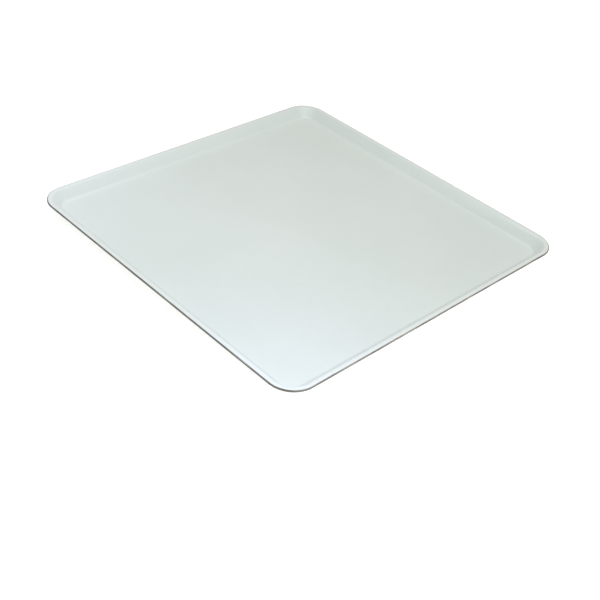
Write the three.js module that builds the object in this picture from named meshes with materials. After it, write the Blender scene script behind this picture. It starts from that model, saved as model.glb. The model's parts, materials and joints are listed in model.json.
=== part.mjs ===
// Fibreglass mortar board: a square one-piece moulding, laid on a stand or on blocks to hold mixed mortar.
// A flat floor panel, a 50 degree wall on all four sides, and a flat lip round the top of the wall.
// The whole board is one laminate of even thickness, so the underside is the top face offset by that thickness.
// Millimetres, +Z up. The origin is at the middle of the underside, which is the face that the board rests on.

import * as THREE from "three";

// ---- Driving dimensions ----
const boardLength = 610; // X, lip edge to lip edge
const boardWidth = 610; // Y, lip edge to lip edge
const laminate = 3; // thickness of the laminate, the same everywhere
const panDepth = 17; // from the lip's top face down to the floor's top face
const lipFlat = 6.5; // flat part of the lip, from the trimmed edge to the start of the bend
const wallAngle = THREE.MathUtils.degToRad(50); // slope of the wall, from the horizontal
const floorCornerRadius = 16; // plan radius at the corners of the flat floor
const floorBend = 8; // radius of the inside of the bend from floor to wall, on the top face
const lipBend = 2; // radius of the inside of the bend from wall to lip, on the underside
const edgeRound = 1.2; // rounding of the trimmed edge at the lip's top face
const edgeBreak = 0.5; // rounding of the trimmed edge at the underside

// ---- Fineness of the facets ----
const cornerSteps = 16; // facets round each plan corner
const bendSteps = 5; // facets round each bend of the section
const edgeSteps = 3; // facets round each rounded edge

const gelcoatWhite = 0xdde4e1;

// An arc of the section, from one angle to another, both measured anticlockwise from +u in the (u, z) plane.
function arc(centre, radius, from, to, steps) {
  return Array.from({ length: steps + 1 }, (_, i) => {
    const angle = THREE.MathUtils.lerp(from, to, i / steps);
    return new THREE.Vector2(
      centre.x + radius * Math.cos(angle),
      centre.y + radius * Math.sin(angle),
    );
  });
}

// The section of the rim. u is how far a point lies outside the flat floor's outline, and z is its height.
// It runs out along the underside, round the trimmed edge, and back over the top face to the floor.
function rimSection() {
  const down = -Math.PI / 2;
  const up = Math.PI / 2;
  const floorBendOutside = floorBend + laminate;
  const lipBendOutside = lipBend + laminate;

  // The two bends turn through the wall's angle, and a straight stretch of wall makes up the rest of the depth.
  const bendRise = (floorBend + lipBendOutside) * (1 - Math.cos(wallAngle));
  const straightRise = panDepth - bendRise;
  const wallRun =
    (floorBend + lipBendOutside) * Math.sin(wallAngle) +
    straightRise / Math.tan(wallAngle);

  const lipTop = laminate + panDepth;
  const edge = wallRun + lipFlat;
  const floorBendCentre = new THREE.Vector2(0, laminate + floorBend);
  const lipBendCentre = new THREE.Vector2(wallRun, lipTop - lipBendOutside);
  const lowEdgeCentre = new THREE.Vector2(edge - edgeBreak, panDepth + edgeBreak);
  const highEdgeCentre = new THREE.Vector2(edge - edgeRound, lipTop - edgeRound);

  const points = [
    ...arc(floorBendCentre, floorBendOutside, down, down + wallAngle, bendSteps),
    ...arc(lipBendCentre, lipBend, up + wallAngle, up, bendSteps),
    ...arc(lowEdgeCentre, edgeBreak, down, 0, edgeSteps),
    ...arc(highEdgeCentre, edgeRound, 0, up, edgeSteps),
    ...arc(lipBendCentre, lipBendOutside, up, up + wallAngle, bendSteps),
    ...arc(floorBendCentre, floorBend, down + wallAngle, down, bendSteps),
  ];
  return { points, width: edge };
}

// A rectangle with round corners, centred on the origin.
function roundedRectangle(length, width, radius) {
  const x = length / 2 - radius;
  const y = width / 2 - radius;
  const quarter = Math.PI / 2;
  return new THREE.Shape()
    .absarc(x, y, radius, 0, quarter)
    .absarc(-x, y, radius, quarter, 2 * quarter)
    .absarc(-x, -y, radius, 2 * quarter, 3 * quarter)
    .absarc(x, -y, radius, 3 * quarter, 4 * quarter);
}

// The moulding: the floor's outline is extruded with one layer of points for each point of the section,
// and each layer is then moved out from the corner's centre by u, and up or down to z.
// The first layer's lid is the underside of the floor, and the last layer's lid is its top face.
function mortarBoard() {
  const section = rimSection();
  const floorLength = boardLength - 2 * section.width;
  const floorWidth = boardWidth - 2 * section.width;
  const layers = section.points.length - 1;
  const outline = roundedRectangle(floorLength, floorWidth, floorCornerRadius);
  const geometry = new THREE.ExtrudeGeometry(outline, {
    depth: layers,
    steps: layers,
    curveSegments: cornerSteps / 2, // an arc gets two facets for each segment
    bevelEnabled: false,
  });

  const position = geometry.getAttribute("position");
  for (let i = 0; i < position.count; i += 1) {
    const flat = new THREE.Vector2(position.getX(i), position.getY(i));
    const cornerCentre = new THREE.Vector2(
      Math.sign(flat.x) * (floorLength / 2 - floorCornerRadius),
      Math.sign(flat.y) * (floorWidth / 2 - floorCornerRadius),
    );
    const target = section.points[Math.round(position.getZ(i))];
    const outward = flat.clone().sub(cornerCentre).normalize();
    flat.addScaledVector(outward, target.x);
    position.setXYZ(i, flat.x, flat.y, target.y);
  }
  geometry.computeVertexNormals();
  return geometry;
}

const board = new THREE.Mesh(
  mortarBoard(),
  new THREE.MeshStandardMaterial({
    color: gelcoatWhite,
    roughness: 0.35,
    metalness: 0,
  }),
);
board.name = "mortar_board";

const model = new THREE.Group();
model.add(board);

export default model;
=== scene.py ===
# %% [markdown]
# # A fibreglass mortar board
# A mortar board is the tray that a mason's helper heaps mixed mortar on. This one is a single moulding: a
# mould is brushed with gelcoat, glass mat and resin are laid on it, and the cured sheet is lifted off and
# trimmed to size. So one drawing of the moulded face, given an even thickness, makes the whole board. The
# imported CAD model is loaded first. It is the fixed frame: every size and place below starts from it.

# %% Load the fixed frame
import json
import math

import bmesh
import bpy
from mathutils import Matrix, Vector, noise


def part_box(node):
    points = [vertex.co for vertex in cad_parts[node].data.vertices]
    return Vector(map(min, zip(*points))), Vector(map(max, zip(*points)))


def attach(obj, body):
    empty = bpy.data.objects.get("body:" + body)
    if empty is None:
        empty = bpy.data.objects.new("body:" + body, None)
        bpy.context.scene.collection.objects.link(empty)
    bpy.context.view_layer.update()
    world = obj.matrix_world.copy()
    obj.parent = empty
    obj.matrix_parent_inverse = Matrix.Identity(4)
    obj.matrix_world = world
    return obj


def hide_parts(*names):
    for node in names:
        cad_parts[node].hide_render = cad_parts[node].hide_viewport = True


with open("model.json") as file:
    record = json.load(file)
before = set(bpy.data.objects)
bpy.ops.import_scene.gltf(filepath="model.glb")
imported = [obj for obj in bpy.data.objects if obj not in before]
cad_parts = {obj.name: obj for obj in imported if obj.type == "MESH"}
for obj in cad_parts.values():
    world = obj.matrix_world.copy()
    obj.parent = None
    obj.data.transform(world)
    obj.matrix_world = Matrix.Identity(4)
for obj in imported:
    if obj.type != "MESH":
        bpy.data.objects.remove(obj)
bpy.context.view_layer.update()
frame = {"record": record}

# %% [markdown]
# ## The sizes
# The side, the height and the thickness of the laminate come from the frame. The rest of the rim's
# section is named here once, in metres, as a mould maker would write it on the drawing. The floor's width
# isn't in the list, because it is whatever the side has left over after the two rims.

# %% Sizes of the board
mm = 0.001
mounts = {mount["name"]: Vector(mount["pos_m"]) for mount in frame["record"]["mounts"]}
low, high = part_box("mortar_board")
half_side = high.x
lip_top = high.z
laminate = mounts["floor_top"].z - mounts["underside"].z
pan_depth = lip_top - laminate

wall_angle = math.radians(50)
floor_bend = 8 * mm
lip_bend = 2 * mm + laminate
lip_flat = 6.5 * mm
floor_corner = 16 * mm

bend_rise = (floor_bend + lip_bend) * (1 - math.cos(wall_angle))
wall_rise = pan_depth - bend_rise
wall_run = wall_rise / math.tan(wall_angle)
rim_width = (floor_bend + lip_bend) * math.sin(wall_angle) + wall_run + lip_flat
corner_centre = half_side - rim_width - floor_corner
print("rim", round(rim_width / mm, 1), "mm wide, corner centres at", round(corner_centre / mm, 1), "mm")

# %% [markdown]
# ## The camera
# The board is seen from above one corner, by a camera that was held slightly out of level. A camera can
# be aimed with a Track To constraint, but a roll is easier to give as a turn of the camera's own axes:
# back points from the board to the camera, and right and up are turned about it.

# %% Camera
side = 2 * half_side
lens = 61.92
camera_azimuth = math.radians(42.62)
camera_elevation = math.radians(37.33)
camera_roll = math.radians(6.91)
camera_distance = 2.7754 * side
drop = 0.2142 * side
slide = 0.0008 * side


def direction(azimuth, elevation):
    """A unit vector. Azimuth 0 points along -Y and 90 degrees along +X."""
    flat = math.cos(elevation)
    return Vector((math.sin(azimuth) * flat, -math.cos(azimuth) * flat, math.sin(elevation)))


back = direction(camera_azimuth, camera_elevation)
level_right = Vector((math.cos(camera_azimuth), math.sin(camera_azimuth), 0))
right = Matrix.Rotation(camera_roll, 3, back) @ level_right
up = back.cross(right)

camera_data = bpy.data.cameras.new("camera")
camera_data.lens = lens
camera_data.sensor_width = 36
camera_data.clip_start = 0.05
camera_data.clip_end = 50
camera = bpy.data.objects.new("camera", camera_data)
axes = Matrix((right, up, back)).transposed().to_4x4()
place = Vector((0, 0, lip_top)) + back * camera_distance - up * drop - right * slide
camera.matrix_world = Matrix.Translation(place) @ axes
bpy.context.scene.collection.objects.link(camera)
bpy.context.scene.camera = camera
print("camera at", [round(value, 3) for value in place])

# %% [markdown]
# ## Floor and light
# A product like this is lit with large, soft lights over a pale floor, so that the gloss shows as long,
# quiet gradients. Sun or spot lights would make hard-edged shadows, so each light here is an area light,
# with a pale world behind them.

# %% Floor
def node_material(name):
    """A new material, with its node tree and the Principled shader that draws it."""
    made = bpy.data.materials.new(name)
    made.use_nodes = True
    return made, made.node_tree, made.node_tree.nodes["Principled BSDF"]


floor_radius = 20 * side
floor_mesh = bpy.data.meshes.new("studio_floor")
floor_bm = bmesh.new()
bmesh.ops.create_circle(floor_bm, cap_ends=True, cap_tris=False, segments=96, radius=floor_radius)
bmesh.ops.translate(floor_bm, verts=floor_bm.verts[:], vec=(0, 0, low.z - 0.2 * mm))
floor_bm.to_mesh(floor_mesh)
floor_bm.free()
floor = bpy.data.objects.new("studio_floor", floor_mesh)
bpy.context.scene.collection.objects.link(floor)
floor_paint, _, floor_shader = node_material("studio_floor_paint")
floor_shader.inputs["Base Color"].default_value = (0.93, 0.93, 0.93, 1)
floor_shader.inputs["Roughness"].default_value = 0.9
floor_shader.inputs["Specular IOR Level"].default_value = 0.2
floor_shader.inputs["Emission Color"].default_value = (1, 1, 1, 1)
floor_shader.inputs["Emission Strength"].default_value = 0.5
floor_mesh.materials.append(floor_paint)
print("floor", round(2 * floor_radius, 1), "m across")

# %% World and lights
world = bpy.data.worlds.new("studio")
world.use_nodes = True
sky = world.node_tree.nodes["Background"]
sky.inputs["Color"].default_value = (1.0, 1.0, 0.965, 1)
sky.inputs["Strength"].default_value = 0.44
backdrop = world.node_tree.nodes.new("ShaderNodeBackground")
backdrop.inputs["Color"].default_value = (1, 1, 1, 1)
seen = world.node_tree.nodes.new("ShaderNodeLightPath")
either = world.node_tree.nodes.new("ShaderNodeMixShader")
world.node_tree.links.new(seen.outputs["Is Camera Ray"], either.inputs[0])
world.node_tree.links.new(sky.outputs[0], either.inputs[1])
world.node_tree.links.new(backdrop.outputs[0], either.inputs[2])
world.node_tree.links.new(either.outputs[0], world.node_tree.nodes["World Output"].inputs["Surface"])
bpy.context.scene.world = world


def soft_light(name, place, aim, size, power, colour):
    """An area light. Place and aim are points and size is (width, depth), all in board sides."""
    data = bpy.data.lights.new(name, "AREA")
    data.shape = "RECTANGLE"
    data.size = size[0] * side
    data.size_y = size[1] * side
    data.energy = power
    data.color = colour
    made = bpy.data.objects.new(name, data)
    place = Vector(place) * side
    turned = (place - Vector(aim) * side).to_track_quat("Z", "Y").to_matrix().to_4x4()
    made.matrix_world = Matrix.Translation(place) @ turned
    made.visible_camera = False
    bpy.context.scene.collection.objects.link(made)
    print(name, "at", [round(value, 2) for value in place])
    return made


soft_light("overhead", (0, 0.1, 2.4), (0, 0, 0), (1.4, 1.4), 7.7, (1.0, 1.0, 0.965))
soft_light("right_box", (1.95, 0, 2.3), (0, 0, 0), (1.2, 1.2), 5.1, (0.8, 0.86, 1.0))
soft_light("near_strip", (-0.12, -0.55, 0.9), (-0.1, -0.35, 0), (0.9, 0.35), 0.45, (0.74, 0.8, 1.0))
soft_light("corner_card", (0.5, -0.55, 0.45), (0.42, -0.42, 0), (0.3, 0.3), 0.32, (0.62, 0.7, 1.0))
soft_light("left_card", (-0.6, -0.5, 0.45), (-0.45, -0.4, 0), (0.3, 0.3), 0.16, (0.66, 0.68, 1.0))
soft_light("edge_strip", (0.85, 0, 0.04), (0.5, 0, 0.02), (0.9, 0.05), 0.7, (1.0, 1.0, 1.0))

bpy.context.scene.view_settings.view_transform = "Standard"

# %% [markdown]
# ## The moulded face
# The face could start as a grid that is pressed into shape with a Displace modifier, but its bends would
# then be as coarse as the grid. A mould maker draws the section and sweeps it, and that is what this
# does. One point is the pen: spin carries it along a straight line or round a bend, and leaves edges
# behind. The whole section is then spun round the corner, and carried along half of each side.

# %% Carry and turn
face = bmesh.new()
coarse = 5.2 * mm
same_place = 0.01 * mm
bend_steps = 9
corner_steps = 26


def carry(start, way, longest_step):
    """Sweeps the given points and edges in a straight line, and returns the far end."""
    way = Vector(way)
    steps = math.ceil(way.length / longest_step)
    made = bmesh.ops.spin(
        face, geom=start, cent=(0, 0, 0), axis=(0, 0, 1), dvec=way / steps, angle=0,
        steps=steps, use_merge=False, use_duplicate=False,
    )
    return made["geom_last"]


def turn(start, centre, axis, angle, steps):
    """Sweeps the given points and edges round an axis, and returns the far end."""
    made = bmesh.ops.spin(
        face, geom=start, cent=centre, axis=axis, dvec=(0, 0, 0), angle=angle,
        steps=steps, use_merge=False, use_duplicate=False,
    )
    return made["geom_last"]


# %% Draw the section, from the corner's centre out to the trimmed edge
outward = Vector((1, 0, 0))
upward = Vector((0, 0, 1))
down_the_side = Vector((0, -1, 0))
up_the_wall = math.cos(wall_angle) * outward + math.sin(wall_angle) * upward
into_the_lip = math.sin(wall_angle) * outward - math.cos(wall_angle) * upward

pen = [face.verts.new((corner_centre, corner_centre, laminate))]
pen = carry(pen, outward * floor_corner, 4 * mm)
pen = turn(pen, pen[0].co + upward * floor_bend, down_the_side, wall_angle, bend_steps)
pen = carry(pen, up_the_wall * wall_rise / math.sin(wall_angle), 3 * mm)
pen = turn(pen, pen[0].co + into_the_lip * lip_bend, down_the_side, -wall_angle, bend_steps)
pen = carry(pen, outward * lip_flat, 2.4 * mm)
section = face.verts[:] + face.edges[:]
print("section:", len(face.verts), "points; edge at", [round(value / mm, 2) for value in pen[0].co])

# %% Sweep it round one corner and along half of two sides
corner_axis = Vector((corner_centre, corner_centre, 0))
round_the_corner = turn(section, corner_axis, upward, math.radians(90), corner_steps)
carry(section, down_the_side * corner_centre, coarse)
carry(round_the_corner, -outward * corner_centre, coarse)
bmesh.ops.remove_doubles(face, verts=face.verts[:], dist=same_place)


def on_floor_line(edge):
    """True for the straight edges between the side's sweep and the middle of the floor."""
    in_line = all(abs(end.co.x - corner_centre) < same_place for end in edge.verts)
    inside = all(end.co.y < corner_centre + same_place for end in edge.verts)
    return in_line and inside


floor_line = [edge for edge in face.edges if on_floor_line(edge)]
floor_ends = list({end for edge in floor_line for end in edge.verts})
carry(floor_ends + floor_line, -outward * corner_centre, coarse)
bmesh.ops.remove_doubles(face, verts=face.verts[:], dist=same_place)
print("a quarter of the face:", len(face.faces), "faces")

# %% Mirror the quarter into the whole face
for axis in "XY":
    quarter = face.verts[:] + face.edges[:] + face.faces[:]
    bmesh.ops.mirror(face, geom=quarter, matrix=Matrix.Identity(4), merge_dist=same_place, axis=axis)
bmesh.ops.remove_doubles(face, verts=face.verts[:], dist=same_place)
bmesh.ops.recalc_face_normals(face, faces=face.faces[:])
if sum(patch.normal.z for patch in face.faces) < 0:
    bmesh.ops.reverse_faces(face, faces=face.faces[:])
rim_edges = sum(edge.is_boundary for edge in face.edges)
print("the face:", len(face.faces), "faces,", rim_edges, "edges round the rim")

# %% [markdown]
# ## The lie of the sheet
# A cured sheet is never quite flat. It creeps as it cools, and the gloss shows that as slow bends in a
# reflection. A Displace modifier could do this, but a few lines of noise let the floor rise only upwards
# and the lip sag only downwards, so the board keeps its size and rests on its lowest points.

# %% Make the sheet slightly uneven
def slow_noise(place, length, seed):
    """Smooth noise from 0 to 1 over about the given length."""
    value = noise.noise(Vector((place.x / length, place.y / length, seed)))
    return min(max(0.5 + 0.7 * value, 0), 1)


floor_creep = 0.45 * mm
lip_creep = 0.35 * mm
for point in face.verts:
    height = (point.co.z - laminate) / pan_depth
    rise = slow_noise(point.co, 0.24, 3.1) * 0.75 + slow_noise(point.co, 0.09, 8.4) * 0.25
    sag = slow_noise(point.co, 0.30, 5.7)
    point.co.z += floor_creep * rise * (1 - height) - lip_creep * sag * height
print("heights, in mm:", [round(f(point.co.z for point in face.verts) / mm, 2) for f in (min, max)])

# %% Let the saw wander along the lip
saw_wander = 0.4 * mm
edge_radius = floor_corner + rim_width
for point in face.verts:
    nearest = Vector([min(max(value, -corner_centre), corner_centre) for value in point.co.xy])
    out = point.co.xy - nearest
    share = (out.length - edge_radius + lip_flat) / lip_flat
    if share > 0.01:
        wander = slow_noise(point.co, 0.11, 1.9) * 0.7 + slow_noise(point.co, 0.03, 6.2) * 0.3
        point.co.xy -= out.normalized() * saw_wander * wander * share
print("half side, in mm:", round(max(point.co.x for point in face.verts) / mm, 2))

# %% [markdown]
# ## The laminate
# The mat follows the mould at an even thickness, so the back is the face moved back along its own
# normals. Solidify does that and closes the trimmed edge in the same step. A second copy, moved straight
# down, would be thin at the wall. The edge was cut with a saw and rubbed down: its upper arris is
# rounded, and its lower one is only broken. Rubbing takes the gelcoat off the arris, so a thin dark line
# of bare laminate runs right round the board.

# %% Give the face its thickness
bmesh.ops.solidify(face, geom=face.faces[:], thickness=laminate)
print("closed:", all(edge.is_manifold for edge in face.edges), "-", len(face.faces), "faces")
print("heights, in mm:", [round(f(point.co.z for point in face.verts) / mm, 3) for f in (min, max)])

# %% Round the trimmed edge
arris_round = 1.2 * mm
edge_break = 0.5 * mm


def is_cut(patch):
    """True for the faces of the trimmed edge, which are the only ones that stand upright."""
    return abs(patch.normal.z) < 0.2


gelcoat_slot, edge_slot, back_slot = range(3)
for patch in face.faces:
    patch.material_index = gelcoat_slot if patch.normal.z > 0 else back_slot
    if is_cut(patch):
        patch.material_index = edge_slot
arrises = [edge for edge in face.edges if len({is_cut(patch) for patch in edge.link_faces}) == 2]
middle = lip_top - laminate / 2
for level, radius, segments in ((1, arris_round, 5), (-1, edge_break, 2)):
    chosen = [edge for edge in arrises if edge.is_valid and (edge.verts[0].co.z - middle) * level > 0]
    rounded = bmesh.ops.bevel(
        face, geom=chosen, offset=radius, offset_type="OFFSET", segments=segments, profile=0.5,
        affect="EDGES", material=-1,
    )
    for patch in rounded["faces"]:
        patch.material_index = edge_slot
    print("rounded", len(chosen), "edges by", round(radius / mm, 1), "mm in", len(rounded["faces"]), "faces")

# %% [markdown]
# ## The back of the laminate
# The back never touched the mould. A roller pressed the wet mat down, so it is lumpy where strands
# crossed and resin pooled. The lumps are real dents in the mesh, so they also show in its outline. The
# strands themselves are finer than the mesh, and are left to the finish.

# %% Roll the back down unevenly
roller_dent = 0.3 * mm
back_points = {point for patch in face.faces if patch.material_index == back_slot for point in patch.verts}
edge_points = {point for patch in face.faces if patch.material_index != back_slot for point in patch.verts}
for point in back_points - edge_points:
    dent = slow_noise(point.co, 0.018, 2.3) * 0.6 + slow_noise(point.co, 0.05, 9.6) * 0.4
    point.co -= point.normal * roller_dent * dent
print("dented", len(back_points - edge_points), "points of the back")

# %% Make it a mesh
board_mesh = bpy.data.meshes.new("moulded_board")
face.to_mesh(board_mesh)
face.free()
board_mesh.shade_smooth()
board = bpy.data.objects.new("moulded_board", board_mesh)
bpy.context.scene.collection.objects.link(board)
print(len(board_mesh.polygons), "faces in the finished board")

# %% [markdown]
# ## Finishes
# Every finish is built from noise in the board's own coordinates, in metres, so it stays put when the
# view moves. A few helpers keep the node trees short. An image texture would be quicker, but it would
# blur close up and repeat.

# %% Helpers for the node trees
polyester_ior = 1.54


def add(tree, kind, inputs, **settings):
    """Adds a shader node. An input is a number, a colour, or the output of another node."""
    made = tree.nodes.new("ShaderNode" + kind)
    for name, value in settings.items():
        setattr(made, name, value)
    for name, value in inputs.items():
        if isinstance(value, bpy.types.NodeSocket):
            tree.links.new(value, made.inputs[name])
        else:
            made.inputs[name].default_value = value
    return made


def stretched_noise(tree, place, lengths, turn_by=0.0, shift=0.0, detail=2.0):
    """Noise with features of the given lengths along X, Y and Z, turned about Z."""
    mapped = add(
        tree, "Mapping",
        {"Vector": place, "Location": (shift, -shift, 0), "Rotation": (0, 0, turn_by), "Scale": lengths},
        vector_type="TEXTURE",
    )
    made = add(tree, "TexNoise", {"Vector": mapped.outputs[0], "Scale": 1.0, "Detail": detail})
    return made.outputs["Fac"]


def ramp(tree, value, low_in, high_in, low_out=0.0, high_out=1.0):
    """Maps a value from one range to another, with soft ends."""
    inputs = {"Value": value, "From Min": low_in, "From Max": high_in, "To Min": low_out, "To Max": high_out}
    return add(tree, "MapRange", inputs, interpolation_type="SMOOTHSTEP").outputs["Result"]


def arithmetic(tree, operation, first, second):
    """One Math node."""
    return add(tree, "Math", {0: first, 1: second}, operation=operation).outputs[0]


def mixed(tree, share, first, second):
    """Mixes two colours."""
    return add(tree, "Mix", {0: share, 6: first, 7: second}, data_type="RGBA").outputs[2]


def bump(tree, height, depth, under=None):
    """Turns a height from 0 to 1 into a dent of the given depth in metres."""
    inputs = {"Height": height, "Distance": depth, "Strength": 1.0}
    if under is not None:
        inputs["Normal"] = under
    return add(tree, "Bump", inputs).outputs["Normal"]


def object_place(tree):
    """The board's own coordinates, in metres."""
    return add(tree, "TexCoord", {}).outputs["Object"]


def chopped_strands(tree, place, length, width, directions, shift=0.0):
    """Short glass strands that lie every way over each other: 1 on top of a strand, 0 between them."""
    bends_per_metre = 14.0
    sideways = 12 * mm
    bend = add(tree, "TexNoise", {"Vector": place, "Scale": bends_per_metre, "Detail": 1.0})
    bent = add(
        tree, "VectorMath", {0: bend.outputs["Color"], 1: (sideways, sideways, 0.0), 2: place},
        operation="MULTIPLY_ADD",
    )
    pile = 0.0
    for number in range(directions):
        strand = stretched_noise(
            tree, bent.outputs[0], (length, width, 1.0), math.pi * number / directions,
            shift + 0.37 * number, 1.0,
        )
        pile = arithmetic(tree, "MAXIMUM", pile, ramp(tree, strand, 0.52, 0.68))
    return pile


# %% [markdown]
# ## Gelcoat
# Gelcoat is a pigmented polyester, sprayed or brushed into the mould first. It comes out with the gloss
# of the mould's polish, a little dulled by handling. Up close it has a fine orange peel, and glass
# strands print through it as the resin shrinks. Both are less than two hundredths of a millimetre deep.
# Hairline scuffs are shallower still, so they only change the colour and the gloss. The wall's colour is
# made a little darker, as painted shade, and the lip's a little lighter, as a painted highlight. The
# laminate shows through where the gelcoat is rubbed thin beside the arris. These follow the rim, so they
# need the distance from the floor's flat, which comes from the same coordinates. The gloss stops at a
# roughness of 0.29. At 0.25, clusters of dark flecks came up on the floor.

# %% How far out from the flat floor a point lies
gelcoat, tree, shader = node_material("gelcoat")
place = object_place(tree)
corner_way = (corner_centre, corner_centre, 1)
one_quarter = add(tree, "VectorMath", {0: place}, operation="ABSOLUTE").outputs[0]
from_centre = add(tree, "VectorMath", {0: one_quarter, 1: corner_way}, operation="SUBTRACT").outputs[0]
beyond = add(tree, "VectorMath", {0: from_centre, 1: (0, 0, 0)}, operation="MAXIMUM").outputs[0]
outside = add(tree, "VectorMath", {0: beyond}, operation="LENGTH").outputs["Value"]
wall_start = floor_corner + 2 * mm
wall_end = edge_radius - lip_flat - 3 * mm
# Where the painted shade on the wall falls.
painted_wall_shade = ramp(tree, outside, wall_start, wall_start + 5 * mm)
# Where the painted highlight on the lip falls.
painted_lip_highlight = ramp(tree, outside, wall_end, wall_end + 4 * mm)
arris_start = edge_radius - arris_round
by_the_arris = ramp(tree, outside, arris_start - 1.1 * mm, arris_start - 0.3 * mm)
print("the lip starts", round((edge_radius - lip_flat) / mm, 1), "mm from the corner's centre")

# %% Scuffs
scuffs = 0.0
for number, angle in enumerate((0.35, 1.1, 2.0, 2.7)):
    level = stretched_noise(tree, place, (0.12, 0.005, 0.12), angle, 3.0 + number, 1.0)
    above_line = arithmetic(tree, "SUBTRACT", level, 0.5)
    off_line = add(tree, "Math", {0: above_line}, operation="ABSOLUTE").outputs[0]
    hairline = ramp(tree, off_line, 0.0, 0.016, 1.0, 0.0)
    patch = ramp(tree, stretched_noise(tree, place, (0.07, 0.04, 0.07), angle, 7.0 + number), 0.4, 0.8)
    scuffs = arithmetic(tree, "MAXIMUM", scuffs, arithmetic(tree, "MULTIPLY", hairline, patch))
print("scuffs in", number + 1, "directions")

# %% Gelcoat colour, gloss and relief
clouds = stretched_noise(tree, place, (0.16, 0.16, 0.16), detail=3.0)
mottle = stretched_noise(tree, place, (0.012, 0.012, 0.012), shift=0.5)
wear = stretched_noise(tree, place, (0.02, 0.02, 0.02), shift=2.5)
print_through = chopped_strands(tree, place, 0.05, 0.0022, 5)

colour = mixed(tree, ramp(tree, clouds, 0.3, 0.7), (0.725, 0.774, 0.724, 1), (0.745, 0.79, 0.744, 1))
colour = mixed(tree, ramp(tree, mottle, 0.35, 0.75, 0, 0.35), colour, (0.72, 0.765, 0.72, 1))
# Painted shade: the wall of the rim is coloured a little darker than the floor.
colour = mixed(tree, arithmetic(tree, "MULTIPLY", painted_wall_shade, 0.35), colour, (0.69, 0.745, 0.705, 1))
# Painted highlight: the lip is coloured lighter than the floor.
colour = mixed(tree, arithmetic(tree, "MULTIPLY", painted_lip_highlight, 0.9), colour, (0.79, 0.83, 0.78, 1))
colour = mixed(tree, arithmetic(tree, "MULTIPLY", scuffs, 0.05), colour, (0.62, 0.65, 0.61, 1))
thin = arithmetic(tree, "MULTIPLY", by_the_arris, ramp(tree, wear, 0.3, 0.7, 0.35, 0.85))
colour = mixed(tree, thin, colour, (0.33, 0.30, 0.27, 1))
tree.links.new(colour, shader.inputs["Base Color"])

glossiest = 0.29
dullest = 0.345
dulling = ramp(tree, clouds, 0.3, 0.7, glossiest, dullest)
dulling = arithmetic(tree, "ADD", dulling, arithmetic(tree, "MULTIPLY", mottle, 0.04))
dulling = arithmetic(tree, "ADD", dulling, arithmetic(tree, "MULTIPLY", scuffs, 0.05))
dulling = arithmetic(tree, "ADD", dulling, arithmetic(tree, "MULTIPLY", thin, 0.2))
tree.links.new(dulling, shader.inputs["Roughness"])
shader.inputs["IOR"].default_value = polyester_ior

peel = stretched_noise(tree, place, (0.0035, 0.0035, 0.0035), shift=1.0, detail=1.0)
normal = bump(tree, print_through, 0.014 * mm)
normal = bump(tree, peel, 0.01 * mm, normal)
tree.links.new(normal, shader.inputs["Normal"])
print("gelcoat:", len(tree.nodes), "nodes")

# %% [markdown]
# ## The trimmed edge
# The saw opens the laminate up, so the edge shows its layers end on: brown-grey resin with paler glass
# between. It is dull, and it has upright saw marks. Dust from the cut leaves some stretches paler than
# others.

# %% Trimmed edge
cut_edge, tree, shader = node_material("trimmed_laminate")
place = object_place(tree)
layers = stretched_noise(tree, place, (0.03, 0.03, 0.00045), detail=3.0)
saw_marks = stretched_noise(tree, place, (0.0008, 0.0008, 0.03), shift=1.0, detail=2.0)
dust = stretched_noise(tree, place, (0.05, 0.05, 0.02), shift=4.0, detail=2.0)
colour = mixed(tree, ramp(tree, layers, 0.35, 0.65), (0.072, 0.064, 0.054, 1), (0.205, 0.187, 0.162, 1))
colour = mixed(tree, ramp(tree, dust, 0.45, 0.75, 0, 0.4), colour, (0.36, 0.345, 0.31, 1))
colour = mixed(tree, ramp(tree, saw_marks, 0.55, 0.8, 0, 0.3), colour, (0.06, 0.054, 0.047, 1))
tree.links.new(colour, shader.inputs["Base Color"])
tree.links.new(ramp(tree, layers, 0.3, 0.7, 0.55, 0.8), shader.inputs["Roughness"])
normal = bump(tree, layers, 0.12 * mm)
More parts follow.
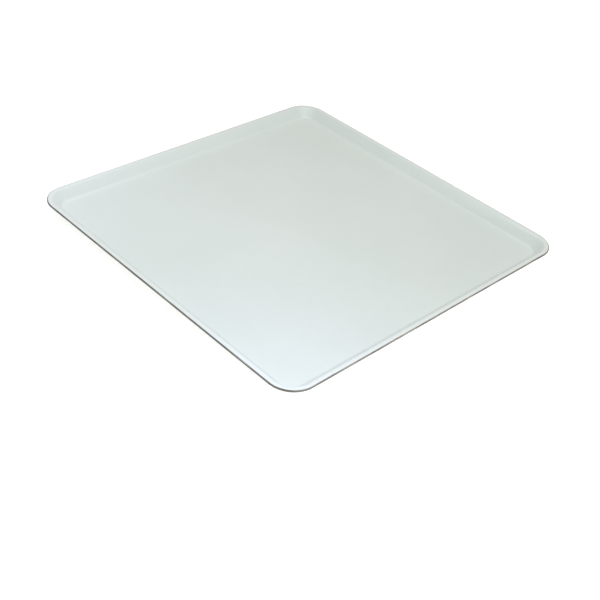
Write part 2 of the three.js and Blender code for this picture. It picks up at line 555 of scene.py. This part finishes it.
normal = bump(tree, saw_marks, 0.08 * mm, normal)
tree.links.new(normal, shader.inputs["Normal"])
print("trimmed edge:", len(tree.nodes), "nodes")

# %% [markdown]
# ## The back
# Chopped-strand mat is 50 mm lengths of glass strand, scattered flat. Wet with clear resin, it turns a
# pale grey-green, with lighter strands over darker resin, and shiny where resin pooled. A woven pattern
# would be wrong for this mat, so the strands are noise drawn out long and thin in nine directions, over a
# finer layer in seven, and in each layer the highest strand is on top.

# %% Back of the laminate
mat_back, tree, shader = node_material("strand_mat_back")
place = object_place(tree)
strands = chopped_strands(tree, place, 0.045, 0.0016, 9)
more_strands = chopped_strands(tree, place, 0.04, 0.0011, 7, shift=5.0)
pools = stretched_noise(tree, place, (0.035, 0.035, 0.035), shift=7.0, detail=3.0)
deep = mixed(tree, ramp(tree, pools, 0.3, 0.7), (0.29, 0.30, 0.24, 1), (0.42, 0.43, 0.36, 1))
colour = mixed(tree, arithmetic(tree, "MULTIPLY", more_strands, 0.55), deep, (0.58, 0.59, 0.53, 1))
colour = mixed(tree, arithmetic(tree, "MULTIPLY", strands, 0.65), colour, (0.69, 0.70, 0.65, 1))
tree.links.new(colour, shader.inputs["Base Color"])
pool_dulling = ramp(tree, pools, 0.3, 0.75, 0.62, 0.34)
shine = arithmetic(tree, "ADD", pool_dulling, arithmetic(tree, "MULTIPLY", strands, 0.08))
tree.links.new(shine, shader.inputs["Roughness"])
shader.inputs["IOR"].default_value = polyester_ior
relief = arithmetic(tree, "ADD", strands, arithmetic(tree, "MULTIPLY", more_strands, 0.6))
normal = bump(tree, pools, 0.5 * mm)
normal = bump(tree, relief, 0.12 * mm, normal)
tree.links.new(normal, shader.inputs["Normal"])
print("back:", len(tree.nodes), "nodes")

for finish in (gelcoat, cut_edge, mat_back):
    board_mesh.materials.append(finish)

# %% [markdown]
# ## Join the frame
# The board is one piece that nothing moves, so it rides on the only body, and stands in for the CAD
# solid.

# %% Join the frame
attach(board, "root")
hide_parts("mortar_board")
